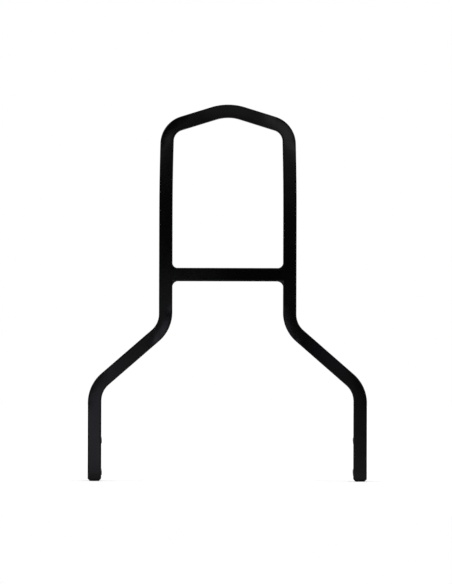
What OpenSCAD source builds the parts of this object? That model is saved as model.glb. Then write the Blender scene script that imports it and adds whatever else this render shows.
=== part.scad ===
// Sissy bar: a flat hoop bent from one length of solid square bar, with a straight crossbar
// welded between its uprights and two splayed legs that bolt to side plates.
// X runs across, Y from front to rear and Z up. The origin lies midway between the legs' ends.

/* [Bar] */
// Width and thickness of the square bar
bar = 12.7; // [9:0.1:16]
// Radius of the bar's long edges
bar_edge = 1.2; // [0.4:0.1:2.4]

/* [Frame] */
// Height of the peak above the legs' ends
frame_h = 355.6; // [320:0.1:460]
// Distance between the centre lines of the uprights
upright_spacing = 117.1; // [100:0.1:160]
// Distance between the centre lines of the legs
leg_spacing = 250.8; // [230:0.1:290]
// Height at which the centre lines of an upright and its splay cross
splay_h = 145.8; // [130:0.1:170]
// Slope of a splay above level
splay_slope = 41; // [36:0.1:46]
// Slope of each side of the peak above level
peak_slope = 17.2; // [14:0.1:26]

/* [Bends] */
// Inside radius of the peak's bend
peak_bend = 37; // [20:0.1:60]
// Inside radius of the shoulder bends
shoulder_bend = 10.7; // [8:0.1:18]
// Inside radius of the bends at both ends of a splay
splay_bend = 19.7; // [14:0.1:26]
// How much larger a bend's outside radius is than its inside radius and the bar together
bend_draw = 4; // [0:0.1:6]
// Angle through which an upright leans in before its shoulder bend
lean_turn = 1.4; // [0.5:0.1:3]
// Length of that gentle lean
lean_len = 60; // [30:1:80]
// Length of the straight run between the lean and the shoulder bend
lean_rest = 8; // [6:0.5:16]

/* [Crossbar] */
// Height of the crossbar's centre line
crossbar_h = 195.1; // [180:0.1:230]
// Bevel ground on the crossbar's ends to take the weld
crossbar_bevel = 2; // [1:0.1:3]
// Leg length of the fillet welds above and below the crossbar
weld_leg = 3.9; // [2:0.1:6]
// How deep the weld's face is hollowed, as a share of its leg
weld_hollow = 0.22; // [0.05:0.01:0.26]

/* [Legs] */
// Bevel round the end of each leg
leg_bevel = 2.2; // [0.5:0.1:3]
// Height of the lower tapped hole above the leg's end
hole_h = 8.6; // [8:0.1:14]
// Distance between the two tapped holes of a leg
hole_spacing = 30; // [15:0.1:40]
// Tapping diameter of the holes
hole_d = 5; // [3.3:0.1:6]
// Countersink round each hole on the leg's outer face
hole_countersink = 0.6; // [0.2:0.1:1]
// Width of the raised rim round each hole on the leg's inner face, where it meets the face
rim_width = 1.3; // [0.8:0.1:1.5]
// Width of the rim's flat top
rim_land = 0.25; // [0.1:0.05:0.5]
// Height of the rim
rim_h = 0.6; // [0.3:0.1:1]

/* [Hidden] */
$fn = 96;

finish_colour = [0.09, 0.09, 0.10];
weld_colour = [0.13, 0.13, 0.14];

// Half the bar, which is how far each of its faces lies from its centre line
half = bar / 2;
// The bar is drawn as two halves that each follow one of its edges. How deep the halves of a run
// and of a bend reach from their edge, a little over half the bar so that they overlap.
run_depth = 0.6 * bar;
bend_depth = 0.55 * bar;
// How far a bend reaches into the runs beside it, and how much slimmer it is there all round, so
// that their faces never coincide
bend_reach = 0.3;
bend_slack = 0.01;
// Centre lines of an upright and a leg, measured from the middle of the frame
upright_x = upright_spacing / 2;
leg_x = leg_spacing / 2;
// Face of an upright that the crossbar butts against
inner_face_x = upright_x - half;

// Turns of the bends
splay_turn = 90 - splay_slope;
shoulder_turn = 90 - peak_slope - lean_turn;
// Radius of the gentle lean, along the bar's centre line
lean_radius = lean_len / (lean_turn * PI / 180);

// Radius that a bend gives to the bar's outside face
function outside(inside) = inside + bar + bend_draw;

// Height at which the centre lines of the peak's two slopes cross
peak_corner_h = frame_h - half / cos(peak_slope) + outside(peak_bend) * (1 / cos(peak_slope) - 1);

// Radius of a bend along one edge of the bar. The edge's offset is positive on the hoop's
// outer side, and a turn is positive where the bar turns away from the hoop's inside.
function edge_radius(offset, turn, inside) = offset * turn > 0 ? inside : outside(inside);

// Distance from a bend's corner to its start, along a straight run
function tangent(radius, turn) = radius * tan(abs(turn) / 2);

// The same for the lean and the shoulder bend together, on the side of the first one
function two_bend_tangent(first_r, first_turn, second_r, second_turn) =
    tangent(first_r, first_turn)
    + (tangent(first_r, first_turn) + lean_rest + tangent(second_r, second_turn))
      * sin(second_turn) / sin(first_turn + second_turn);

// Heights of an edge's corners, where its straight runs would meet without their bends
function lower_corner_h(offset) =
    splay_h + offset / cos(splay_slope) - (leg_x + offset - upright_x) * tan(splay_slope);
function upper_corner_h(offset) = splay_h + offset * (1 / cos(splay_slope) - tan(splay_slope));
function shoulder_corner_h(offset) =
    peak_corner_h + offset / cos(peak_slope) - (upright_x + offset) * tan(peak_slope);

// Straight runs of one edge, between the ends of its bends
function leg_run(offset) =
    lower_corner_h(offset) - tangent(edge_radius(offset, -1, splay_bend), splay_turn);
function splay_run(offset) =
    (leg_x - upright_x) / cos(splay_slope)
    - tangent(edge_radius(offset, -1, splay_bend), splay_turn)
    - tangent(edge_radius(offset, 1, splay_bend), splay_turn);
function upright_run(offset) =
    shoulder_corner_h(offset) - upper_corner_h(offset)
    - tangent(edge_radius(offset, 1, splay_bend), splay_turn)
    - two_bend_tangent(lean_radius + offset, lean_turn,
                       edge_radius(offset, -1, shoulder_bend), shoulder_turn);
function slope_run(offset) =
    (upright_x + offset) / cos(peak_slope)
    - two_bend_tangent(edge_radius(offset, -1, shoulder_bend), shoulder_turn,
                       lean_radius + offset, lean_turn)
    - tangent(edge_radius(offset, -1, peak_bend), 2 * peak_slope);

// One edge's bending table, from the left leg's end to the middle of the peak: each row holds a
// straight run, and the radius and turn of the bend after it
function bending_table(offset) = [
    [leg_run(offset), edge_radius(offset, -1, splay_bend), -splay_turn],
    [splay_run(offset), edge_radius(offset, 1, splay_bend), splay_turn],
    [upright_run(offset), lean_radius + offset, -lean_turn],
    [lean_rest, edge_radius(offset, -1, shoulder_bend), -shoulder_turn],
    [slope_run(offset), edge_radius(offset, -1, peak_bend), -peak_slope],
];

// Square section with rounded corners, centred and drawn in by the slack
module bar_section(slack = 0) {
    width = bar - 2 * slack;
    flat = bar - 2 * bar_edge;
    square([width, flat], center = true);
    square([flat, width], center = true);
    for (x = [-1, 1], y = [-1, 1])
        translate([x * flat / 2, y * flat / 2])
            circle(bar_edge - slack);
}

// The part of the section that one edge of the bar carries, with the edge itself at x = 0
module half_section(offset, depth, slack = 0) {
    intersection() {
        translate([-offset, 0])
            bar_section(slack);
        translate([-sign(offset) * depth / 2, 0])
            square([depth, 2 * bar], center = true);
    }
}

// Sweeps the section round the origin from where it lies on the Y axis, and past both ends
module bend(radius, turn) {
    reach = bend_reach / radius * 180 / PI;
    mirror([0, turn < 0 ? 1 : 0, 0])
        rotate([0, 0, -90 - reach])
            rotate_extrude(angle = abs(turn) + 2 * reach)
                translate([radius, 0])
                    rotate(turn > 0 ? 180 : 0)
                        children();
}

// Sweeps its first child along X and its second one round a bend, and goes on from there with the
// next row
module follow(table, row = 0) {
    run = table[row][0];
    radius = table[row][1];
    turn = table[row][2];
    rotate([90, 0, 90])
        linear_extrude(run)
            children(0);
    translate([run, sign(turn) * radius, 0]) {
        bend(radius, turn)
            children(1);
        if (row < len(table) - 1)
            rotate([0, 0, turn])
                translate([0, -sign(turn) * radius, 0])
                    follow(table, row + 1) {
                        children(0);
                        children(1);
                    }
    }
}

// The half of the bar that follows one of its edges, standing upright, up to past the peak
module edge_sweep(offset) {
    rotate([90, 0, 0])
        translate([-leg_x - offset, 0, 0])
            rotate([0, 0, 90])
                follow(bending_table(offset)) {
                    half_section(offset, run_depth);
                    half_section(offset, bend_depth, bend_slack);
                }
}

// The left half of the bent bar, cut off square in the middle of the peak
module left_half() {
    difference() {
        union() {
            edge_sweep(half);
            edge_sweep(-half);
        }
        translate([0, -bar, 0])
            cube([2 * bar, 2 * bar, 2 * frame_h]);
    }
}

// Adds its child's mirror image on the hoop's other side
module both_sides() {
    children();
    mirror([1, 0, 0])
        children();
}

// What the bevel round a leg's end takes away, for a leg centred on the Z axis
module end_bevel() {
    for (turn = [0:90:270])
        rotate([0, 0, turn])
            translate([half, 0, 0])
                rotate([0, 45, 0])
                    cube([leg_bevel * sqrt(2), 2 * bar, 2 * bar], center = true);
}

// Raised rim round a hole, along Z, rooted in the leg and tapering to its flat top
module hole_rim() {
    root_r = hole_d / 2 + rim_width;
    translate([0, 0, -half])
        cylinder(r = root_r, h = half);
    cylinder(r1 = root_r, r2 = hole_d / 2 + rim_land, h = rim_h);
}

// Tapped hole with its countersink, along Z, entering at z = 0 and leaving past the rim
module tapped_hole() {
    translate([0, 0, -bar - 2 * rim_h])
        cylinder(d = hole_d, h = bar + 3 * rim_h);
    translate([0, 0, -hole_countersink])
        cylinder(d1 = hole_d, d2 = hole_d + 4 * hole_countersink, h = 2 * hole_countersink);
}

// Places its child at each tapped hole of the right leg, with Z pointing out of the given face
module at_holes(face_x, direction) {
    for (i = [0, 1])
        translate([face_x, 0, hole_h + i * hole_spacing])
            rotate([0, direction * 90, 0])
                children();
}

// The whole bent bar: legs, splays, uprights, shoulders and peak in one length
module bent_bar() {
    color(finish_colour)
        difference() {
            union() {
                both_sides()
                    left_half();
                both_sides()
                    at_holes(leg_x - half, -1)
                        hole_rim();
            }
            both_sides() {
                translate([leg_x, 0, 0])
                    end_bevel();
                at_holes(leg_x + half, 1)
                    tapped_hole();
            }
        }
}

// Straight bar between the uprights, with bevelled ends for the weld
module crossbar() {
    color(finish_colour)
        translate([0, 0, crossbar_h])
            difference() {
                rotate([90, 0, 90])
                    linear_extrude(2 * inner_face_x, center = true)
                        bar_section();
                both_sides()
                    for (turn = [0:90:270])
                        translate([inner_face_x, 0, 0])
                            rotate([turn, 0, 0])
                                translate([0, half, 0])
                                    rotate([0, 0, 45])
                                        cube([crossbar_bevel * sqrt(2), 2 * bar, 2 * bar], center = true);
            }
}

// Outline of a weld seen from the front, with the upright's inner face at x = 0: it fills the
// upright's rounded edge and has a hollow-faced fillet above and below the crossbar
module weld_profile() {
    depth = weld_hollow * weld_leg;
    chord = weld_leg * sqrt(2);
    face_r = chord * chord / (8 * depth) + depth / 2;
    centre = (weld_leg + sqrt(2 * face_r * face_r - weld_leg * weld_leg)) / 2;
    difference() {
        translate([-weld_leg, -half - weld_leg])
            square([weld_leg + bar_edge, bar + 2 * weld_leg]);
        for (side = [-1, 1])
            translate([-centre, side * (half + centre)])
                circle(face_r);
    }
}

// Weld all round the crossbar's right end: fillets above and below, ground flush front and rear
module weld() {
    difference() {
        translate([inner_face_x, 0, crossbar_h])
            rotate([90, 0, 0])
                linear_extrude(bar, center = true)
                    weld_profile();
        translate([upright_x, 0, crossbar_h])
            linear_extrude(2 * bar + 4 * weld_leg, center = true)
                bar_section();
        crossbar();
    }
}

module weld_left() {
    color(weld_colour)
        mirror([1, 0, 0])
            weld();
}

module weld_right() {
    color(weld_colour)
        weld();
}

bent_bar();
crossbar();
weld_left();
weld_right();
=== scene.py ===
"""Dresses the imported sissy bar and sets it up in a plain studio.

The hoop with its legs is one length of square bar. A Geometry Nodes tree sweeps the bar's section
along the hoop's two edges, and the same tree makes the crossbar. A second tree lays a weld bead
into each corner that it fills. Two more turn the threaded plugs that are cut out of the legs and
the rims that stand round those holes. All pieces wear the same black powder coat. Lengths are in
metres.
"""

import sys

import logging
import math
from collections.abc import Sequence
from dataclasses import dataclass
from enum import Enum

import bmesh
import bpy
from bpy.types import ID, Material, Mesh, Node, NodeSocket, NodeTree, Object, World
from mathutils import Matrix, Vector


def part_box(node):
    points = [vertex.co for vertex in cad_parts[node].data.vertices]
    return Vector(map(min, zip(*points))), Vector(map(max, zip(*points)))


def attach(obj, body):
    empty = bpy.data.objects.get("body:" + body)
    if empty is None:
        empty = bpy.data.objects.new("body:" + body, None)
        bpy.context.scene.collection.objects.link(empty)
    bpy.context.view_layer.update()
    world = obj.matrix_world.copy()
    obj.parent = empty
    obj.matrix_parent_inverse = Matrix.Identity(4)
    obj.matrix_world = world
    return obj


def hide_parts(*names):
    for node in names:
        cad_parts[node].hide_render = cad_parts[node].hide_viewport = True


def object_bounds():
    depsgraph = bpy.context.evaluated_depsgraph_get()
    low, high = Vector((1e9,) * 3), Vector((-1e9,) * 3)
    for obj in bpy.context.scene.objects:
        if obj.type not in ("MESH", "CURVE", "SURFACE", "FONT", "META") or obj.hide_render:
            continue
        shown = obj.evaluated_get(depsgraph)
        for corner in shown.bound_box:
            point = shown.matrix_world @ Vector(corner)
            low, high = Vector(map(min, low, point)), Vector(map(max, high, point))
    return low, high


Pair = tuple[float, float]
Triple = tuple[float, float, float]
Feeds = dict[str | int, object]
Course = list[tuple[Vector, float]]

LOG = logging.getLogger("sissy_bar")
MM = 0.001
BODY = "root"
QUARTER_TURN = math.pi / 2
WHITE = (1.0, 1.0, 1.0)
COOL_WHITE = (0.94, 0.92, 1.12)

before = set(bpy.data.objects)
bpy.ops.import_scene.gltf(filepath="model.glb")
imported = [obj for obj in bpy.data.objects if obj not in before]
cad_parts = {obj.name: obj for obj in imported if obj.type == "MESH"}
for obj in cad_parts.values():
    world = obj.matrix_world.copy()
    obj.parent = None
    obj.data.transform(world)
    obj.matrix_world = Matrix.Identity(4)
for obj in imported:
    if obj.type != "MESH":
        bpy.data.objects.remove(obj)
CAD_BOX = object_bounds()


# Objects and meshes


def added(name: str, data: ID) -> Object:
    """Puts a new object into the scene.

    Args:
        name: What to call it.
        data: The mesh, lamp or camera that it carries.

    Returns:
        The object.
    """
    made = bpy.data.objects.new(name, data)
    bpy.context.scene.collection.objects.link(made)
    return made


def applied(carrier: Object) -> Mesh:
    """Turns an object with modifiers into a plain mesh.

    Args:
        carrier: The object, which is removed with the mesh that it started from.

    Returns:
        The mesh that its modifiers make.
    """
    start = carrier.data
    graph = bpy.context.evaluated_depsgraph_get()
    made = bpy.data.meshes.new_from_object(carrier.evaluated_get(graph))
    bpy.data.objects.remove(carrier)
    bpy.data.meshes.remove(start)
    return made


def face_outward(mesh: Mesh, merge: float = 0.0) -> None:
    """Turns a mesh's faces outward.

    Args:
        mesh: The mesh to change.
        merge: The distance within which points are first made one, or 0 to leave them.
    """
    shell = bmesh.new()
    shell.from_mesh(mesh)
    if merge:
        bmesh.ops.remove_doubles(shell, verts=shell.verts, dist=merge)
    bmesh.ops.recalc_face_normals(shell, faces=shell.faces)
    shell.to_mesh(mesh)
    shell.free()


def point_mesh(spots: Sequence[Vector], **values: Sequence[float] | Sequence[Vector]) -> Mesh:
    """Makes a mesh of loose points that a node tree starts from.

    Args:
        spots: The points.
        values: Attributes by name, each with a number or a vector for every point.

    Returns:
        The mesh.
    """
    mesh = bpy.data.meshes.new("points")
    mesh.from_pydata([tuple(spot) for spot in spots], [], [])
    for key, row in values.items():
        plain = isinstance(row[0], float)
        data = mesh.attributes.new(key, "FLOAT" if plain else "FLOAT_VECTOR", "POINT").data
        for item, value in zip(data, row):
            setattr(item, "value" if plain else "vector", value)
    return mesh


# Node trees


class Interpolation(Enum):
    """How a map range node runs between its two ends."""

    LINEAR = "LINEAR"
    SMOOTH = "SMOOTHSTEP"


class Kind(Enum):
    """The kinds of attribute that the trees read."""

    NUMBER = "FLOAT"
    VECTOR = "FLOAT_VECTOR"


@dataclass(frozen=True)
class Value:
    """One output of a node. Those that are numbers can be used in sums."""

    tree: "Tree"
    socket: NodeSocket

    def __add__(self, other: "Number") -> "Value":
        """Returns this number plus the other."""
        return self.tree.math("ADD", self, other)

    def __sub__(self, other: "Number") -> "Value":
        """Returns this number less the other."""
        return self.tree.math("SUBTRACT", self, other)

    def __rsub__(self, other: float) -> "Value":
        """Returns a constant less this number."""
        return self.tree.math("SUBTRACT", other, self)

    def __mul__(self, other: "Number") -> "Value":
        """Returns this number times the other."""
        return self.tree.math("MULTIPLY", self, other)

    def __truediv__(self, other: "Number") -> "Value":
        """Returns this number over the other."""
        return self.tree.math("DIVIDE", self, other)


Number = float | Value


@dataclass
class Tree:
    """A node tree, with short ways to add its nodes and to feed them."""

    tree: NodeTree

    def node(self, kind: str, feeds: Feeds, **settings: object) -> Node:
        """Adds a node.

        Args:
            kind: Blender's name for the node type.
            feeds: What goes into its inputs, other nodes' outputs or constants.
            settings: Properties to set on it.

        Returns:
            The new node.
        """
        made = self.tree.nodes.new(kind)
        for key, setting in settings.items():
            setattr(made, key, setting)
        for key, feed in feeds.items():
            if isinstance(feed, Value):
                self.tree.links.new(feed.socket, made.inputs[key])
            else:
                made.inputs[key].default_value = feed
        return made

    def value(
        self, kind: str, feeds: Feeds | None = None, output: str | int = 0, **settings: object
    ) -> Value:
        """Adds a node like the method above and returns the one of its outputs that is used."""
        return Value(self, self.node(kind, feeds or {}, **settings).outputs[output])

    def math(self, operation: str, *values: Number) -> Value:
        """Returns the result of a math node on one or two numbers."""
        return self.value("ShaderNodeMath", dict(enumerate(values)), operation=operation)

    def clamp(self, value: Number) -> Value:
        """Returns the number kept between 0 and 1."""
        return self.math("MINIMUM", self.math("MAXIMUM", value, 0.0), 1.0)

    def remap(
        self,
        value: Number,
        start: tuple[Number, Number],
        end: tuple[Number, Number],
        how: Interpolation = Interpolation.LINEAR,
    ) -> Value:
        """Maps one range of numbers onto another.

        Args:
            value: The number to map.
            start: The range that it runs over.
            end: The range of the result.
            how: Straight or eased at both ends.

        Returns:
            The mapped number, kept inside the second range.
        """
        names = ("Value", "From Min", "From Max", "To Min", "To Max")
        feeds = dict(zip(names, (value, *start, *end)))
        return self.value("ShaderNodeMapRange", feeds, interpolation_type=how.value)

    def vector(self, x: Number, y: Number, z: Number) -> Value:
        """Returns a vector made of three numbers."""
        return self.value("ShaderNodeCombineXYZ", {0: x, 1: y, 2: z})

    def split(self, vector: Value) -> tuple[Value, ...]:
        """Returns a vector's three numbers."""
        made = self.node("ShaderNodeSeparateXYZ", {0: vector})
        return tuple(Value(self, socket) for socket in made.outputs)

    def vmath(self, operation: str, *values: object) -> Value:
        """Returns the result of a vector math node on one or two vectors."""
        return self.value("ShaderNodeVectorMath", dict(enumerate(values)), operation=operation)

    def length(self, vector: Value) -> Value:
        """Returns a vector's length."""
        return self.value("ShaderNodeVectorMath", {0: vector}, "Value", operation="LENGTH")

    def scaled(self, vector: Value, factor: Number) -> Value:
        """Returns a vector times a number."""
        return self.value("ShaderNodeVectorMath", {0: vector, "Scale": factor}, operation="SCALE")

    def object_place(self) -> Value:
        """Returns the shaded point in the object's own coordinates."""
        return self.value("ShaderNodeTexCoord", output="Object")

    def noise(self, per_metre: float, detail: float) -> Value:
        """Returns a noise of the given fineness in the object's own coordinates."""
        feeds = {"Vector": self.object_place(), "Scale": per_metre, "Detail": detail}
        return self.value("ShaderNodeTexNoise", feeds)

    def ray(self, kind: str) -> Value:
        """Returns 1 for rays of the named kind, such as Camera, and 0 for others."""
        return self.value("ShaderNodeLightPath", output=f"Is {kind} Ray")


def empty_tree(owner: Material | World) -> Tree:
    """Empties the node tree of a material or a world.

    Args:
        owner: The material or the world.

    Returns:
        Its tree, ready for new nodes.
    """
    owner.use_nodes = True
    owner.node_tree.nodes.clear()
    return Tree(owner.node_tree)


class GeometryTree(Tree):
    """A Geometry Nodes tree with named inputs, which grows a plain mesh from a mesh of points."""

    def __init__(self, name: str, finish: Material, **sizes: float) -> None:
        """Makes the tree with a geometry input and one number input for each size.

        Args:
            name: What to call it.
            finish: The material that its result wears.
            sizes: The number inputs' names and values.
        """
        group = bpy.data.node_groups.new(name, "GeometryNodeTree")
        super().__init__(group)
        sockets = group.interface
        kinds = {"Geometry": "Geometry", **dict.fromkeys(sizes, "Float"), "Finish": "Material"}
        self.keys = {
            key: sockets.new_socket(key, in_out="INPUT", socket_type=f"NodeSocket{kind}").identifier
            for key, kind in kinds.items()
        }
        sockets.new_socket("Geometry", in_out="OUTPUT", socket_type="NodeSocketGeometry")
        self.values = {**sizes, "Finish": finish}
        self.inputs = self.node("NodeGroupInput", {}).outputs

    def given(self, name: str) -> Value:
        """Returns one of the tree's inputs."""
        return Value(self, self.inputs[name])

    def named(self, name: str, kind: Kind) -> Value:
        """Returns an attribute of the mesh."""
        return self.value("GeometryNodeInputNamedAttribute", {"Name": name}, data_type=kind.value)

    def tube(self, rings: Value | int, points: Value | int) -> tuple[Value, Value, Value]:
        """Adds a capped tube whose points are to be moved into place.

        Args:
            rings: How many rings it has along its length.
            points: How many points each ring has.

        Returns:
            The tube's mesh, and each point's ring number and place within its ring.
        """
        line = self.value("GeometryNodeCurvePrimitiveLine", {"End": (0.0, 0.0, 1.0)})
        spine = self.value("GeometryNodeResampleCurve", {"Curve": line, "Count": rings})
        circle = self.value("GeometryNodeCurvePrimitiveCircle", {"Resolution": points})
        feeds = {"Curve": spine, "Profile Curve": circle, "Fill Caps": True}
        index = self.value("GeometryNodeInputIndex")
        ring = self.math("FLOOR", (index + 0.5) / points)
        return self.value("GeometryNodeCurveToMesh", feeds), ring, index - ring * points

    def placed(self, mesh: Value, position: Value) -> Value:
        """Returns the mesh with its points moved to the given positions."""
        return self.value("GeometryNodeSetPosition", {"Geometry": mesh, "Position": position})

    def close(self, mesh: Value) -> None:
        """Ends the tree with Realize Instances and Set Material.

        Args:
            mesh: What the tree has made.
        """
        real = self.value("GeometryNodeRealizeInstances", {0: mesh})
        dressed = self.value(
            "GeometryNodeSetMaterial", {"Geometry": real, "Material": self.given("Finish")}
        )
        self.node("NodeGroupOutput", {0: dressed})

    def grow(self, seed: Mesh, **changed: float) -> Mesh:
        """Runs the tree on a mesh of points.

        Args:
            seed: The mesh that the tree starts from.
            changed: Sizes that differ from the tree's own this time.

        Returns:
            The result as a plain mesh.
        """
        carrier = added("seed", seed)
        modifier = carrier.modifiers.new("Nodes", "NODES")
        modifier.node_group = self.tree
        for key, value in {**self.values, **changed}.items():
            modifier[self.keys[key]] = value
        return applied(carrier)


# The finish


@dataclass(frozen=True)
class Relief:
    """One layer of a coat's relief: how fine it is, how deep and how detailed."""

    per_metre: float
    depth: float
    detail: float = 1.0


@dataclass(frozen=True)
class PowderCoat:
    """Smooth black powder coat: gloss with long waves, a faint orange peel and a fine grain."""

    name: str = "black_powder_coat"
    colour: Triple = (0.0004, 0.0004, 0.0005)
    pale_colour: Triple = (0.0009, 0.0009, 0.0011)
    rough_low: float = 0.14
    rough_high: float = 0.20
    refraction: float = 1.5
    cloud_per_metre: float = 38.0
    cloud_detail: float = 3.0
    tint_clouds: Pair = (0.35, 0.7)
    rough_clouds: Pair = (0.3, 0.7)
    waves: Relief = Relief(75.0, 0.06 * MM)
    peel: Relief = Relief(420.0, 0.014 * MM)
    grain: Relief = Relief(3800.0, 0.0014 * MM, 2.0)

    def build(self) -> Material:
        """Makes the material.

        Returns:
            The finished material, which reads object coordinates only.
        """
        material = bpy.data.materials.new(self.name)
        tree = empty_tree(material)
        clouds = tree.noise(self.cloud_per_metre, self.cloud_detail)
        tint = {
            "Factor": tree.remap(clouds, self.tint_clouds, (0.0, 1.0)),
            "A": (*self.colour, 1.0),
            "B": (*self.pale_colour, 1.0),
        }
        roughness = tree.remap(clouds, self.rough_clouds, (self.rough_low, self.rough_high))
        shader = {
            "Base Color": tree.value("ShaderNodeMix", tint, "Result", data_type="RGBA"),
            "Roughness": roughness,
            "IOR": self.refraction,
            "Normal": self.relief(tree),
        }
        surface = tree.value("ShaderNodeBsdfPrincipled", shader)
        tree.node("ShaderNodeOutputMaterial", {"Surface": surface})
        material.diffuse_color = (*self.colour, 1.0)
        return material

    def relief(self, tree: Tree) -> Value:
        """Adds the waves, the orange peel and the grain as three bumps, one on the other.

        Args:
            tree: The material's tree.

        Returns:
            The bumped normal.
        """
        below: Feeds = {}
        for layer in (self.waves, self.peel, self.grain):
            height = tree.noise(layer.per_metre, layer.detail)
            feeds = {"Strength": 1.0, "Distance": layer.depth, "Height": height, **below}
            below = {"Normal": tree.value("ShaderNodeBump", feeds)}
        return below["Normal"]


# The bar and the path that it follows


@dataclass(frozen=True)
class BarStock:
    """The square bar that every member is made of, and how finely its section is drawn."""

    width: float = 12.7 * MM
    edge: float = 1.2 * MM
    corner_steps: int = 6
    flat_points: int = 5
    shoulder: float = 0.25 * MM
    end_sharpening: float = 0.4
    least_edge: float = 0.35 * MM

    @property
    def half(self) -> float:
        """Half the bar's width."""
        return self.width / 2


@dataclass(frozen=True)
class Station:
    """One place along a member, where a ring of points goes round the bar.

    The section is drawn in by inset all round. It is thinner by the share thin towards the outer
    edge, or towards the inner one where thin is negative.
    """

    outer: Vector
    inner: Vector
    inset: float = 0.0
    thin: float = 0.0


def station_mesh(stations: list[Station]) -> Mesh:
    """Stores stations as the points of a mesh, with their values as attributes."""
    values = {key: [getattr(s, key) for s in stations] for key in vars(stations[0])}
    return point_mesh([(s.outer + s.inner) / 2 for s in stations], **values)


class SweepTree(GeometryTree):
    """Sweeps the bar's section between the two edges that its stations give."""

    def __init__(self, stock: BarStock, finish: Material) -> None:
        """Builds the tree.

        Args:
            stock: The bar whose section is swept.
            finish: The material that the bar wears.
        """
        super().__init__(
            "bar_sweep",
            finish,
            Thickness=stock.width,
            Edge=stock.edge,
            Shoulder=stock.shoulder,
            Steps=float(stock.corner_steps),
            Flats=float(stock.flat_points),
            Sharpening=stock.end_sharpening,
            LeastEdge=stock.least_edge,
        )
        stations = {"Geometry": self.given("Geometry")}
        count = self.value("GeometryNodeAttributeDomainSize", stations, "Point Count")
        per_corner = self.given("Steps") + self.given("Flats") + 3.0
        points = per_corner * 4.0
        tube, ring, place = self.tube(count, points)
        outer, inner = (self.sample(name, Kind.VECTOR, ring) for name in ("outer", "inner"))
        inset, thin = (self.sample(name, Kind.NUMBER, ring) for name in ("inset", "thin"))

        across = self.vmath("SUBTRACT", outer, inner)
        width = self.length(across)
        x, y = self.section(place, per_corner, width, inset)
        outward = self.clamp(x / width + 0.5)
        share = self.math("LESS_THAN", thin, 0.0) - outward
        y = y * (1.0 - self.math("ABSOLUTE", thin) * (share * share))
        middle = self.scaled(self.vmath("ADD", outer, inner), 0.5)
        spot = self.vmath("ADD", middle, self.scaled(self.vmath("NORMALIZE", across), x))
        spot = self.vmath("ADD", spot, self.vector(0.0, y * -1.0, 0.0))
        self.close(self.placed(tube, spot))

    def sample(self, name: str, kind: Kind, ring: Value) -> Value:
        """Returns an attribute of the station that a ring belongs to."""
        feeds = {"Geometry": self.given("Geometry"), "Value": self.named(name, kind), "Index": ring}
        return self.value("GeometryNodeSampleIndex", feeds, data_type=kind.value)

    def section(
        self, place: Value, per_corner: Value, width: Value, inset: Value
    ) -> tuple[Value, Value]:
        """Works out a point of the rounded square section.

        Args:
            place: The point's place in its ring.
            per_corner: How many points a corner has, with those on the flat that follows it.
            width: The bar's width at this station.
            inset: How far the section is drawn in, at a bevelled end.

        Returns:
            The point's distance towards the outer edge, and across the bar.
        """
        steps = self.given("Steps")
        corner = self.math("FLOOR", (place + 0.5) / per_corner)
        step = place - corner * per_corner
        angle = (corner + self.clamp((step - 1.0) / steps)) * QUARTER_TURN
        diagonal = (corner + 0.5) * QUARTER_TURN
        along = self.clamp((step - steps - 2.0) / (self.given("Flats") + 1.0))
        sharpened = self.given("Edge") - inset * self.given("Sharpening")
        edge = self.math("MAXIMUM", sharpened, self.given("LeastEdge"))
        before = self.math("LESS_THAN", step, 0.5)
        after = self.math("GREATER_THAN", step, steps + 1.5)
        slide = (after - before) * self.given("Shoulder") * (1.0 - along * 2.0)
        found = []
        for extent, trig, cross, sign in (
            (width, "COSINE", "SINE", -1.0),
            (self.given("Thickness"), "SINE", "COSINE", 1.0),
        ):
            reach = extent * 0.5 - inset - edge
            here = self.math("SIGN", self.math(trig, diagonal))
            following = self.math("SIGN", self.math(trig, diagonal + QUARTER_TURN))
            centre = reach * (here + along * (following - here))
            arc = edge * self.math(trig, angle)
            found.append(centre + arc + slide * self.math(cross, angle) * sign)
        return found[0], found[1]


@dataclass(frozen=True)
class Row:
    """A row of a bending table: a straight run, and the radius and turn of the bend after it."""

    run: float
    radius: float
    turn: float


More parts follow.
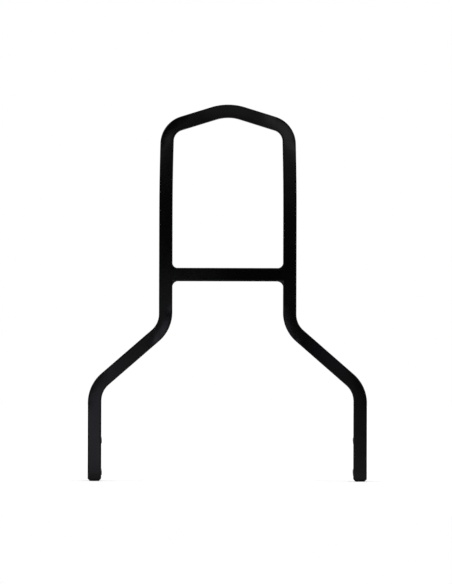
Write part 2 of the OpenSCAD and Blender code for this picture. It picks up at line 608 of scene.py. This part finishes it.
@dataclass
class HoopPath:
    """The two edges of the hoop, from the left leg's end over the peak to the right one."""

    stock: BarStock
    peak_top: float
    leg_x: float = 125.4 * MM
    upright_x: float = 58.55 * MM
    splay_height: float = 145.8 * MM
    splay_slope: float = math.radians(41.0)
    peak_slope: float = math.radians(17.2)
    peak_inside: float = 37.0 * MM
    shoulder_inside: float = 10.7 * MM
    splay_inside: float = 19.7 * MM
    draw: float = 4.0 * MM
    lean_turn: float = math.radians(1.4)
    lean_length: float = 60.0 * MM
    lean_rest: float = 8.0 * MM
    end_bevel: float = 2.2 * MM
    end_rings: Pair = (0.12 * MM, 0.4 * MM)
    end_lip: float = 0.25 * MM
    end_softness: float = 0.22 * MM
    end_rest: float = 0.5 * MM
    run_step: float = 5.0 * MM
    bend_steps: int = 18
    lean_steps: int = 4
    bend_thinning: float = 0.3
    thinning_reach: float = 9.0 * MM
    least_thinning: float = 0.01
    hair: float = 0.001 * MM

    def outside(self, inside: float) -> float:
        """Returns a bend's outside radius, which is drawn larger than the bar alone asks."""
        return inside + self.stock.width + self.draw

    def radius(self, offset: float, turn: float, inside: float) -> float:
        """Returns a bend's radius along one edge, whose offset is positive on the outer side."""
        return inside if offset * turn > 0 else self.outside(inside)

    def tangent(self, radius: float, turn: float) -> float:
        """Returns the length from a bend's corner to its start."""
        return radius * math.tan(abs(turn) / 2)

    def pair_tangent(self, first: Pair, second: Pair) -> float:
        """Measures the lean and the shoulder bend as one bend.

        Args:
            first: Radius and turn of the bend whose side is asked for.
            second: Radius and turn of the other bend.

        Returns:
            The length from their common corner to the first bend's start.
        """
        own, other = self.tangent(*first), self.tangent(*second)
        share = math.sin(second[1]) / math.sin(first[1] + second[1])
        return own + (own + self.lean_rest + other) * share

    def corners(self, offset: float) -> Triple:
        """Finds the corners where one edge's straight runs would meet without their bends.

        Args:
            offset: How far the edge lies outside the bar's centre line.

        Returns:
            The heights of the corners at the splay's lower end, its upper end and the shoulder.
        """
        slope, peak = self.splay_slope, self.peak_slope
        raised = self.splay_height + offset / math.cos(slope)
        lower = raised - (self.leg_x + offset - self.upright_x) * math.tan(slope)
        upper = self.splay_height + offset * (1 / math.cos(slope) - math.tan(slope))
        top = self.peak_top - self.stock.half / math.cos(peak)
        top += self.outside(self.peak_inside) * (1 / math.cos(peak) - 1)
        shoulder = top + offset / math.cos(peak) - (self.upright_x + offset) * math.tan(peak)
        return lower, upper, shoulder

    def table(self, offset: float) -> list[Row]:
        """Writes the bending table of the left half of one edge.

        Args:
            offset: How far the edge lies outside the bar's centre line.

        Returns:
            The rows, from the leg's end to the middle of the peak.
        """
        lower, upper, corner = self.corners(offset)
        turn, peak = QUARTER_TURN - self.splay_slope, self.peak_slope
        inward = self.radius(offset, -1, self.splay_inside)
        outward = self.radius(offset, 1, self.splay_inside)
        starts = self.tangent(inward, turn), self.tangent(outward, turn)
        lean = (self.lean_length / self.lean_turn + offset, self.lean_turn)
        bend = QUARTER_TURN - peak - self.lean_turn
        shoulder = (self.radius(offset, -1, self.shoulder_inside), bend)
        top = self.radius(offset, -1, self.peak_inside)
        splay = (self.leg_x - self.upright_x) / math.cos(self.splay_slope) - starts[0] - starts[1]
        upright = corner - upper - starts[1] - self.pair_tangent(lean, shoulder)
        roof = (self.upright_x + offset) / math.cos(peak) - self.pair_tangent(shoulder, lean)
        return [
            Row(lower - starts[0], inward, -turn),
            Row(splay, outward, turn),
            Row(upright, lean[0], -lean[1]),
            Row(self.lean_rest, shoulder[0], -shoulder[1]),
            Row(roof - self.tangent(top, 2 * peak), top, -peak),
        ]

    def end_heights(self) -> list[float]:
        """Returns the heights of the rings that shape the bevel at a leg's end."""
        (low, high), bevel = self.end_rings, self.end_bevel
        return [0.0, low, high, bevel - high, bevel, bevel + self.end_rest]

    def end_inset(self, height: float) -> float:
        """Works out the bevel at a leg's end, with softened corners.

        Args:
            height: The height above the end.

        Returns:
            How far the leg's section is drawn in there.
        """
        if height == 0.0:
            return self.end_bevel + self.end_lip
        plain = self.end_bevel - height
        return (plain + math.hypot(plain, self.end_softness)) / 2

    def stretch(self, turn: float, radius: float) -> float:
        """Returns the share of a bend's thinning, negative where it stretches the inner side."""
        middle = radius - math.copysign(self.stock.half, -turn)
        return math.copysign(self.bend_thinning * self.stock.half / middle, -turn)

    def edge(self, offset: float) -> Course:
        """Follows the left half of one edge.

        Args:
            offset: How far the edge lies outside the bar's centre line.

        Returns:
            Points from the leg's end to the peak, each with the thinning of the bend that it
            lies in, or 0 on a straight run.
        """
        spot = Vector((-self.leg_x - offset, 0.0, 0.0))
        heading = QUARTER_TURN
        points = [(spot + Vector((0.0, 0.0, height)), 0.0) for height in self.end_heights()]
        start = self.end_heights()[-1]
        # Both edges take as many points to a run as a line next to the bar's middle asks
        counts = [max(round(row.run / self.run_step), 2) for row in self.table(self.hair)]
        for row, count in zip(self.table(offset), counts):
            ahead = Vector((math.cos(heading), 0.0, math.sin(heading)))
            for i in range(1, count + 1):
                done = start + (row.run - start) * i / count
                points.append((spot + ahead * done, 0.0))
            start = 0.0
            spot = spot + ahead * row.run
            arm = math.copysign(row.radius, row.turn)
            centre = spot + Vector((-math.sin(heading), 0.0, math.cos(heading))) * arm
            steps = self.lean_steps if abs(row.turn) == self.lean_turn else self.bend_steps
            thin = self.stretch(row.turn, row.radius)
            for i in range(1, steps + 1):
                angle = heading + row.turn * i / steps
                normal = Vector((-math.sin(angle), 0.0, math.cos(angle)))
                points.append((centre - normal * arm, thin))
            spot = points[-1][0]
            heading += row.turn
        return points

    def thinning(self, points: Course) -> list[float]:
        """Eases the bends' thinning out along the bar.

        Args:
            points: The edge's points, with the thinning of the bend that each lies in.

        Returns:
            The thinning at each point, the strongest of those that reach it.
        """
        along = [0.0]
        for (a, _), (b, _) in zip(points, points[1:]):
            along.append(along[-1] + (b - a).length)
        bent = [(s, thin) for s, (_, thin) in zip(along, points) if abs(thin) > self.least_thinning]
        found = []
        for spot in along:
            ease = [(max(0.0, 1.0 - abs(spot - b) / self.thinning_reach), thin) for b, thin in bent]
            found.append(max((e * e * (3.0 - 2.0 * e) * thin for e, thin in ease), key=abs))
        return found

    def stations(self) -> list[Station]:
        """Pairs the two edges up and mirrors the left half.

        Returns:
            The stations from the left leg's end to the right one.
        """
        outer, inner = self.edge(self.stock.half), self.edge(-self.stock.half)
        half: list[Station] = []
        for (out, _), (inn, _), thin in zip(outer, inner, self.thinning(outer)):
            inset = self.end_inset(out.z) if out.z <= self.end_heights()[-1] else 0.0
            half.append(Station(out, inn, inset, thin))
        last = half.pop()
        last.outer.x = last.inner.x = 0.0
        flip = Matrix.Diagonal((-1.0, 1.0, 1.0))
        right = [Station(flip @ s.outer, flip @ s.inner, s.inset, s.thin) for s in reversed(half)]
        return [*half, last, *right]


# Pieces


@dataclass(kw_only=True)
class Piece:
    """One visible piece, which stands for a CAD node and rides on the frame.

    Points closer than merge are made one, and faces that meet below an angle shade as one.
    """

    name: str
    node: str
    merge: float = 1e-7
    smooth_below: float = math.radians(32)

    def shape(self) -> Mesh:
        """Returns the piece's mesh, in place and with its finish."""
        raise NotImplementedError

    def build(self) -> None:
        """Makes the piece, closes and shades its mesh, and hands it to the frame."""
        mesh = self.shape()
        mesh.name = self.name
        face_outward(mesh, self.merge)
        mesh.shade_smooth()
        mesh.set_sharp_from_angle(angle=self.smooth_below)
        piece = added(self.name, mesh)
        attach(piece, BODY)
        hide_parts(self.node)
        LOG.info("%s: %d faces, stands for %s", self.name, len(mesh.polygons), self.node)


@dataclass
class TappedHoles:
    """The two tapped cross holes of each leg, with the rims that they leave on its inner face."""

    stock: BarStock
    leg_x: float
    finish: Material
    heights: tuple[float, ...] = (8.6 * MM, 38.6 * MM)
    bore: float = 2.5 * MM
    thread_depth: float = 0.45 * MM
    thread_crest: float = 0.14
    pitch: float = 1.0 * MM
    countersink: float = 0.6 * MM
    sides: int = 40
    rings_per_pitch: int = 8
    spare: float = 0.3 * MM
    rim_width: float = 1.3 * MM
    rim_land: float = 0.25 * MM
    rim_height: float = 0.6 * MM
    rim_depth: float = 0.5 * MM
    rim_hollow: float = 1.8
    rim_sides: int = 48
    rim_rings: int = 12

    def seed(self, face: float) -> Mesh:
        """Places a point at each hole.

        Args:
            face: How far outside the leg's centre line the points lie.

        Returns:
            A mesh of four points with the turn that points each hole inwards.
        """
        spots = [(side, height) for side in (-1.0, 1.0) for height in self.heights]
        places = [Vector((side * (self.leg_x + face), 0.0, height)) for side, height in spots]
        return point_mesh(places, turn=[-side * QUARTER_TURN for side, _ in spots])

    def turned(
        self, tree: GeometryTree, tube: Value, radius: Value, angle: Value, depth: Value
    ) -> None:
        """Ends a tree by rounding its tube about an axis and copying it to each hole.

        Args:
            tree: The tree.
            tube: The tube's mesh.
            radius: How far each of its points lies from the axis.
            angle: Where each point lies round the axis.
            depth: Where each point lies along the axis.
        """
        x, y = (radius * tree.math(trig, angle) for trig in ("COSINE", "SINE"))
        form = tree.placed(tube, tree.vector(x, y, depth))
        turn = tree.vector(0.0, tree.named("turn", Kind.NUMBER), 0.0)
        copies = {"Points": tree.given("Geometry"), "Instance": form, "Rotation": turn}
        tree.close(tree.value("GeometryNodeInstanceOnPoints", copies))

    def cutters(self) -> Mesh:
        """Turns the four threaded plugs that are cut out of the legs.

        Returns:
            The plugs in place.
        """
        length = self.stock.width + self.rim_height + 2 * self.spare
        tree = GeometryTree(
            "thread_plug",
            self.finish,
            Length=length,
            Bore=self.bore,
            Depth=self.thread_depth,
            Pitch=self.pitch,
            Countersink=self.countersink,
            Spare=self.spare,
        )
        bore, spare = tree.given("Bore"), tree.given("Spare")
        rings = round(length / self.pitch * self.rings_per_pitch) + 1
        tube, ring, place = tree.tube(rings, self.sides)
        depth = ring / float(rings - 1) * tree.given("Length")
        phase = depth / tree.given("Pitch") - place / float(self.sides)
        wave = tree.math("ABSOLUTE", tree.math("FRACT", phase) * 2.0 - 1.0)
        crest = self.thread_crest
        groove = tree.remap(wave, (crest, 1.0 - crest), (0.0, tree.given("Depth")))
        near = tree.given("Countersink") + spare - depth
        far = depth - (tree.given("Length") - spare * 2.0)
        radius = tree.math("MAXIMUM", bore + groove, bore + near)
        radius = tree.math("MAXIMUM", radius, bore + far)
        self.turned(tree, tube, radius, place * (2 * math.pi / self.sides), depth)
        return tree.grow(self.seed(self.stock.half + self.spare))

    def rims(self) -> Mesh:
        """Turns the low rims on the legs' inner faces.

        Returns:
            The four rims in place, as solid studs that the holes are then cut through.
        """
        tree = GeometryTree(
            "hole_rim",
            self.finish,
            Height=self.rim_height,
            Land=self.bore + self.rim_land,
            Root=self.bore + self.rim_width,
            Depth=self.rim_depth,
        )
        land, top, depth = tree.given("Land"), tree.given("Height"), tree.given("Depth")
        tube, ring, place = tree.tube(self.rim_rings, self.rim_sides)
        height = ring / float(self.rim_rings - 1) * (top + depth) - depth
        flank = tree.math("POWER", 1.0 - tree.clamp(height / top), self.rim_hollow)
        radius = land + (tree.given("Root") - land) * flank
        self.turned(tree, tube, radius, place * (2 * math.pi / self.rim_sides), height)
        return tree.grow(self.seed(-self.stock.half))


class Joining(Enum):
    """What is done to a mesh with another one."""

    ADD = "UNION"
    CUT = "DIFFERENCE"


@dataclass(kw_only=True)
class BentBar(Piece):
    """The hoop: legs, splays, uprights, shoulders and peak in one length of bar."""

    name: str = "hoop_and_legs"
    node: str = "bent_bar"
    sweep: SweepTree
    path: HoopPath
    holes: TappedHoles

    def shape(self) -> Mesh:
        """Sweeps the bar, raises its rims and cuts its holes.

        Returns:
            The mesh.
        """
        mesh = self.sweep.grow(station_mesh(self.path.stations()))
        mesh = self.combined(mesh, self.holes.rims(), Joining.ADD)
        return self.combined(mesh, self.holes.cutters(), Joining.CUT)

    def combined(self, base: Mesh, tool: Mesh, how: Joining) -> Mesh:
        """Joins one mesh with another or cuts it.

        Args:
            base: The mesh to work on.
            tool: The mesh to add or take away.
            how: Which of the two is done.

        Returns:
            The result as a plain mesh.
        """
        for mesh in (base, tool):
            face_outward(mesh)
        carrier, cutter = added("work", base), added("tool", tool)
        boolean = carrier.modifiers.new("Boolean", "BOOLEAN")
        boolean.operation = how.value
        boolean.solver = "EXACT"
        boolean.object = cutter
        result = applied(carrier)
        bpy.data.objects.remove(cutter)
        bpy.data.meshes.remove(tool)
        return result


@dataclass(kw_only=True)
class Crossbar(Piece):
    """The straight bar between the uprights, set into their rounded edges at both ends."""

    name: str = "cross_member"
    node: str = "crossbar"
    sweep: SweepTree
    path: HoopPath
    set_in_edges: float = 2.0
    recess: float = 0.02 * MM
    steps: int = 24

    @property
    def height(self) -> float:
        """The height of the crossbar's centre line."""
        low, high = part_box("crossbar")
        return (low.z + high.z) / 2

    def shape(self) -> Mesh:
        """Sweeps the crossbar from one upright to the other.

        Returns:
            The mesh.
        """
        stock = self.path.stock
        end = self.path.upright_x - stock.half + self.set_in_edges * stock.edge
        places = [-end + 2 * end * i / self.steps for i in range(self.steps + 1)]
        edges = [self.height + stock.half, self.height - stock.half]
        stations = [Station(*(Vector((x, 0.0, z)) for z in edges)) for x in places]
        return self.sweep.grow(station_mesh(stations), Thickness=stock.width - 2 * self.recess)


@dataclass(frozen=True)
class Bead:
    """A weld bead's sizes and how finely it is drawn."""

    leg: float = 4.0 * MM
    hollow: float = 0.22
    root: float = 1.7 * MM
    pitch: float = 1.25 * MM
    ripple: float = 0.13 * MM
    ripple_level: float = 0.75
    bow: float = 0.8 * MM
    wander: float = 0.5 * MM
    wander_per_pitch: float = 0.6
    recess: float = 0.04 * MM
    grit: float = 0.04 * MM
    grit_per_metre: float = 700.0
    seed: float = 11.0
    face_points: int = 25
    rings: int = 96

    def arc(self) -> Triple:
        """Lays a circle through the bead's two toes, as deep as its face is hollow.

        Returns:
            The circle's radius, its centre's distance from both bars and the lower toe's angle.
        """
        leg, depth = self.leg, self.hollow * self.leg
        chord = leg * math.sqrt(2)
        radius = chord * chord / (8 * depth) + depth / 2
        centre = (leg + math.sqrt(2 * radius * radius - leg * leg)) / 2
        return radius, centre, math.atan2(-centre, leg - centre)


class WeldTree(GeometryTree):
    """The bead that fills a corner between crossbar and upright, rippled along its length."""

    FACE_MIDDLE = -0.75 * math.pi

    def __init__(self, stock: BarStock, bead: Bead, finish: Material) -> None:
        """Builds the tree.

        Args:
            stock: The bars that the bead joins.
            bead: The bead's sizes.
            finish: The material that the bead wears.
        """
        radius, centre, start = bead.arc()
        super().__init__(
            "weld_bead",
            finish,
            Leg=bead.leg,
            Root=bead.root,
            Radius=radius,
            Centre=centre,
            Start=start,
            Turn=2 * (self.FACE_MIDDLE - start),
            Pitch=bead.pitch,
            Ripple=bead.ripple,
            Bow=bead.bow,
            Wander=bead.wander,
            Bar=stock.half,
            Half=stock.half - bead.recess,
            Edge=stock.edge,
            Seed=bead.seed,
        )
        self.bead = bead
        corner_points = 3
        points = bead.face_points + corner_points
        tube, ring, place = self.tube(bead.rings, points)
        y = (ring / float(bead.rings - 1) * 2.0 - 1.0) * self.given("Half")
        share = self.clamp(place / float(bead.face_points - 1))
        face = self.face_radius(y, share)
        angle = self.given("Start") + share * self.given("Turn")
        on_face = self.math("LESS_THAN", place, bead.face_points - 0.5)
        first = self.math("LESS_THAN", place, bead.face_points + 0.5)
        last = self.math("GREATER_THAN", place, bead.face_points + 1.5)
        root = self.given("Root") * -1.0
        spot = []
        for trig, far in (("COSINE", last), ("SINE", first)):
            curved = self.given("Centre") + face * self.math(trig, angle)
            buried = root + far * (self.given("Leg") - root)
            spot.append(on_face * curved + (1.0 - on_face) * buried)
        mesh = self.placed(tube, self.vector(spot[0], y, spot[1]))
        self.lay(mesh, self.recession(y) * on_face)

    def face_radius(self, y: Value, share: Value) -> Value:
        """Works out the bead's face, as a radius about the hollow's centre.

        Args:
            y: Distance along the bead from its middle.
            share: Place across the face, from the crossbar's toe to the upright's.

        Returns:
            The radius, larger where the face lies deeper in the corner.
        """
        pitch = self.given("Pitch")
        across = share * 2.0 - 1.0
        middle = 1.0 - across * across
        body = self.remap(middle, (0.0, 0.5), (0.0, 1.0), Interpolation.SMOOTH)
        feeds = {"W": y / pitch + self.given("Seed"), "Scale": self.bead.wander_per_pitch}
        noise = self.value("ShaderNodeTexNoise", feeds, noise_dimensions="1D")
        wander = (noise - 0.5) * self.given("Wander")
        phase = self.math("FRACT", (y + wander + self.given("Bow") * middle) / pitch)
        scallop = self.math("SQRT", self.clamp(1.0 - phase * phase))
        ripple = (scallop - self.bead.ripple_level) * self.given("Ripple") * body
        return self.given("Radius") - ripple

    def recession(self, y: Value) -> Value:
        """Works out how far the bars' rounded edges draw back, which the bead's ends follow.

        Args:
            y: Distance along the bead from its middle.

        Returns:
            The distance that a bar's flat side has drawn back there.
        """
        edge = self.given("Edge")
        past = self.math("ABSOLUTE", y) - (self.given("Bar") - edge)
        over = self.clamp(past / edge)
        return (1.0 - self.math("SQRT", self.clamp(1.0 - over * over))) * edge

    def lay(self, bead: Value, recession: Value) -> None:
        """Copies the bead to each corner of the seed, draws its ends back and roughens it.

        Args:
            bead: The bead's mesh, in the corner above the crossbar's left end.
            recession: How far each of its points draws back towards both bars.
        """
        stored = {"Geometry": bead, "Name": "recession", "Value": recession}
        kept = self.value("GeometryNodeStoreNamedAttribute", stored)
        size = self.named("size", Kind.VECTOR)
        copies = {"Points": self.given("Geometry"), "Instance": kept, "Scale": size}
        laid = self.value("GeometryNodeInstanceOnPoints", copies)
        real = self.value("GeometryNodeRealizeInstances", {0: laid})
        feeds = {"W": self.given("Seed"), "Scale": self.bead.grit_per_metre, "Detail": 1.0}
        noise = self.value("ShaderNodeTexNoise", feeds, "Color", noise_dimensions="4D")
        shift = self.vmath("SUBTRACT", noise, (0.5, 0.5, 0.5))
        rough_x, _, rough_z = self.split(self.scaled(shift, 2 * self.bead.grit))
        side_x, _, side_z = self.split(self.vmath("SIGN", size))
        drawn = self.named("recession", Kind.NUMBER)
        offset = self.vector(rough_x - side_x * drawn, 0.0, rough_z - side_z * drawn)
        self.close(self.value("GeometryNodeSetPosition", {"Geometry": real, "Offset": offset}))


@dataclass(frozen=True)
class Fillet:
    """One weld fillet: its legs along the crossbar and up the upright, negative below the bar."""

    along: float
    up: float


class Side(Enum):
    """The two ends of the crossbar."""

    LEFT = -1.0
    RIGHT = 1.0


@dataclass(kw_only=True)
class Weld(Piece):
    """The weld at one end of the crossbar: a fillet above it and one below."""

    beads: WeldTree
    crossbar: Crossbar
    side: Side
    fillets: tuple[Fillet, ...]
    smooth_below: float = math.radians(50)

    def shape(self) -> Mesh:
        """Places the weld's beads.

        Returns:
            The mesh.
        """
        path, leg = self.crossbar.path, self.beads.bead.leg
        half = path.stock.half
        x = self.side.value * (path.upright_x - half)
        spots, sizes = [], []
        for fillet in self.fillets:
            rise = math.copysign(half, fillet.up)
            spots.append(Vector((x, 0.0, self.crossbar.height + rise)))
            sizes.append(Vector((-self.side.value * fillet.along / leg, 1.0, fillet.up / leg)))
        return self.beads.grow(point_mesh(spots, size=sizes))


# The studio


@dataclass(frozen=True)
class Lamp:
    """One soft lamp: its place, its size, how bright its face is and its colour.

    It points at its target, or where it has none straight ahead at the bar's flat front, which
    mirrors it.
    """

    name: str
    place: Triple
    size: Pair
    brightness: float
    colour: Triple = WHITE
    target: Triple | None = None

    def build(self) -> None:
        """Adds the lamp."""
        light = bpy.data.lights.new(self.name, "AREA")
        light.shape = "RECTANGLE"
        light.size, light.size_y = self.size
        light.energy = self.brightness * math.pi * self.size[0] * self.size[1]
        light.color = self.colour
        lamp = added(self.name, light)
        lamp.location = self.place
        aim = Vector(self.target) - Vector(self.place) if self.target else Vector((0.0, 1.0, 0.0))
        lamp.rotation_euler = aim.to_track_quat("-Z", "Y").to_euler()
        lamp.visible_camera = False


@dataclass
class Studio:
    """Pale floor, white surroundings, soft lamps and a long lens straight in front."""

    distance: float = 6.0
    view_centre: Pair = (-1.61 * MM, 178.70 * MM)
    view_height: float = 551.57 * MM
    roll: float = math.radians(-0.157)
    sensor: float = 36.0
    clip_end: float = 100.0
    floor_reach: Pair = (-0.9, 4.0)
    floor_side: float = 4.0
    floor_grey: float = 0.82
    floor_lift: Pair = (0.17, 0.33)
    floor_fade: Pair = (0.1, 1.3)
    floor_mirrored: float = 0.28
    room_light: float = 0.92
    room_dark: float = 0.015
    room_bright: float = 0.8
    room_fade: Pair = (0.1, 0.8)
    lamps: tuple[Lamp, ...] = (
        Lamp("key_left", (-1.4, -0.8, 0.9), (0.8, 1.0), 1.2, WHITE, (-0.05, 0.0, 0.15)),
        Lamp("key_right", (1.4, -0.8, 0.9), (0.8, 1.0), 1.2, WHITE, (0.05, 0.0, 0.15)),
        Lamp("overhead", (0.0, -0.3, 1.5), (1.4, 1.0), 0.8, WHITE, (0.0, 0.0, 0.2)),
        Lamp("low_left", (-0.155, -0.5, 0.045), (0.12, 0.09), 0.47, COOL_WHITE),
        Lamp("bend_left", (-0.15, -0.5, 0.11), (0.05, 0.05), 0.30, COOL_WHITE),
        Lamp("splay_left", (-0.10, -0.5, 0.115), (0.06, 0.05), 0.22),
        Lamp("upright_left", (-0.065, -0.5, 0.17), (0.05, 0.05), 0.21),
        Lamp("between", (-0.02, -0.5, 0.108), (0.045, 0.05), 0.95, COOL_WHITE),
        Lamp("low_right", (0.15, -0.5, 0.045), (0.12, 0.09), 0.06),
        Lamp("splay_right", (0.12, -0.5, 0.115), (0.06, 0.06), 0.17, COOL_WHITE),
        Lamp("shoulder_right", (0.10, -0.5, 0.375), (0.09, 0.09), 0.55),
        Lamp("shoulder_left", (-0.10, -0.5, 0.335), (0.05, 0.05), 0.48),
        Lamp("upright_right", (0.065, -0.5, 0.31), (0.05, 0.06), 0.17),
        Lamp("peak", (0.02, -0.5, 0.40), (0.16, 0.08), 0.21),
    )

    def build(self) -> None:
        """Sets up the camera, the floor, the surroundings and the lamps."""
        self.camera()
        self.floor()
        self.room()
        for lamp in self.lamps:
            lamp.build()
        bpy.context.scene.view_settings.view_transform = "Standard"

    def camera(self) -> None:
        """Stands the camera level in front of the bar."""
        data = bpy.data.cameras.new("camera")
        data.sensor_width = self.sensor
        data.lens = self.sensor * self.distance / self.view_height
        data.clip_end = self.clip_end
        camera = added("camera", data)
        camera.location = (self.view_centre[0], -self.distance, self.view_centre[1])
        camera.rotation_euler = (QUARTER_TURN, self.roll, 0.0)
        bpy.context.scene.camera = camera

    def floor(self) -> None:
        """Lays a wide pale floor that shows as white outside the bar's soft shadow."""
        near, far = self.floor_reach
        side = self.floor_side
        corners = [(-side, near, 0.0), (side, near, 0.0), (side, far, 0.0), (-side, far, 0.0)]
        mesh = bpy.data.meshes.new("floor")
        mesh.from_pydata(corners, [], [(0, 1, 2, 3)])
        floor = added("floor", mesh)
        material = bpy.data.materials.new("pale_floor")
        tree = empty_tree(material)
        lost = tree.ray("Glossy") * (1.0 - self.floor_mirrored)
        grey = (1.0 - lost) * self.floor_grey
        matte = tree.value("ShaderNodeBsdfDiffuse", {"Color": tree.vector(grey, grey, grey)})
        away = tree.length(tree.object_place())
        lift = tree.remap(away, self.floor_fade, self.floor_lift, Interpolation.SMOOTH)
        glow = {"Color": (*WHITE, 1.0), "Strength": tree.ray("Camera") * lift}
        both = {0: matte, 1: tree.value("ShaderNodeEmission", glow)}
        surface = tree.value("ShaderNodeAddShader", both)
        tree.node("ShaderNodeOutputMaterial", {"Surface": surface})
        mesh.materials.append(material)

    def room(self) -> None:
        """Surrounds the bar with white behind it and a dim room on the camera's side."""
        world = bpy.data.worlds.new("room")
        bpy.context.scene.world = world
        world.cycles.sampling_method = "NONE"
        tree = empty_tree(world)
        _, y, _ = tree.split(tree.value("ShaderNodeTexCoord", output="Generated"))
        ends = (self.room_dark, self.room_bright)
        behind = tree.remap(y, self.room_fade, ends, Interpolation.SMOOTH)
        mirrored = tree.math("MAXIMUM", tree.ray("Glossy"), tree.ray("Transmission"))
        strength = mirrored * (behind - self.room_light) + self.room_light
        strength = strength + tree.ray("Camera") * (1.0 - strength)
        light = {"Color": (*WHITE, 1.0), "Strength": strength}
        surface = tree.value("ShaderNodeBackground", light)
        tree.node("ShaderNodeOutputWorld", {"Surface": surface})


def main() -> None:
    """Builds the studio and every piece of the bar."""
    logging.basicConfig(level=logging.INFO, format="%(name)s: %(message)s", stream=sys.stdout)
    Studio().build()
    finish = PowderCoat().build()
    stock = BarStock()
    path = HoopPath(stock, peak_top=CAD_BOX[1].z)
    sweep = SweepTree(stock, finish)
    beads = WeldTree(stock, Bead(), finish)
    crossbar = Crossbar(sweep=sweep, path=path)
    holes = TappedHoles(stock, path.leg_x, finish)
    pieces: list[Piece] = [BentBar(sweep=sweep, path=path, holes=holes), crossbar]
    for side, fillets in (
        (Side.LEFT, (Fillet(3.9 * MM, 3.9 * MM), Fillet(4.4 * MM, -4.4 * MM))),
        (Side.RIGHT, (Fillet(4.3 * MM, 4.2 * MM), Fillet(5.1 * MM, -4.3 * MM))),
    ):
        where = side.name.lower()
        names = {"name": f"{where}_weld", "node": f"weld_{where}"}
        pieces.append(Weld(**names, beads=beads, crossbar=crossbar, side=side, fillets=fillets))
    for piece in pieces:
        piece.build()


if __name__ == "__main__":
    main()
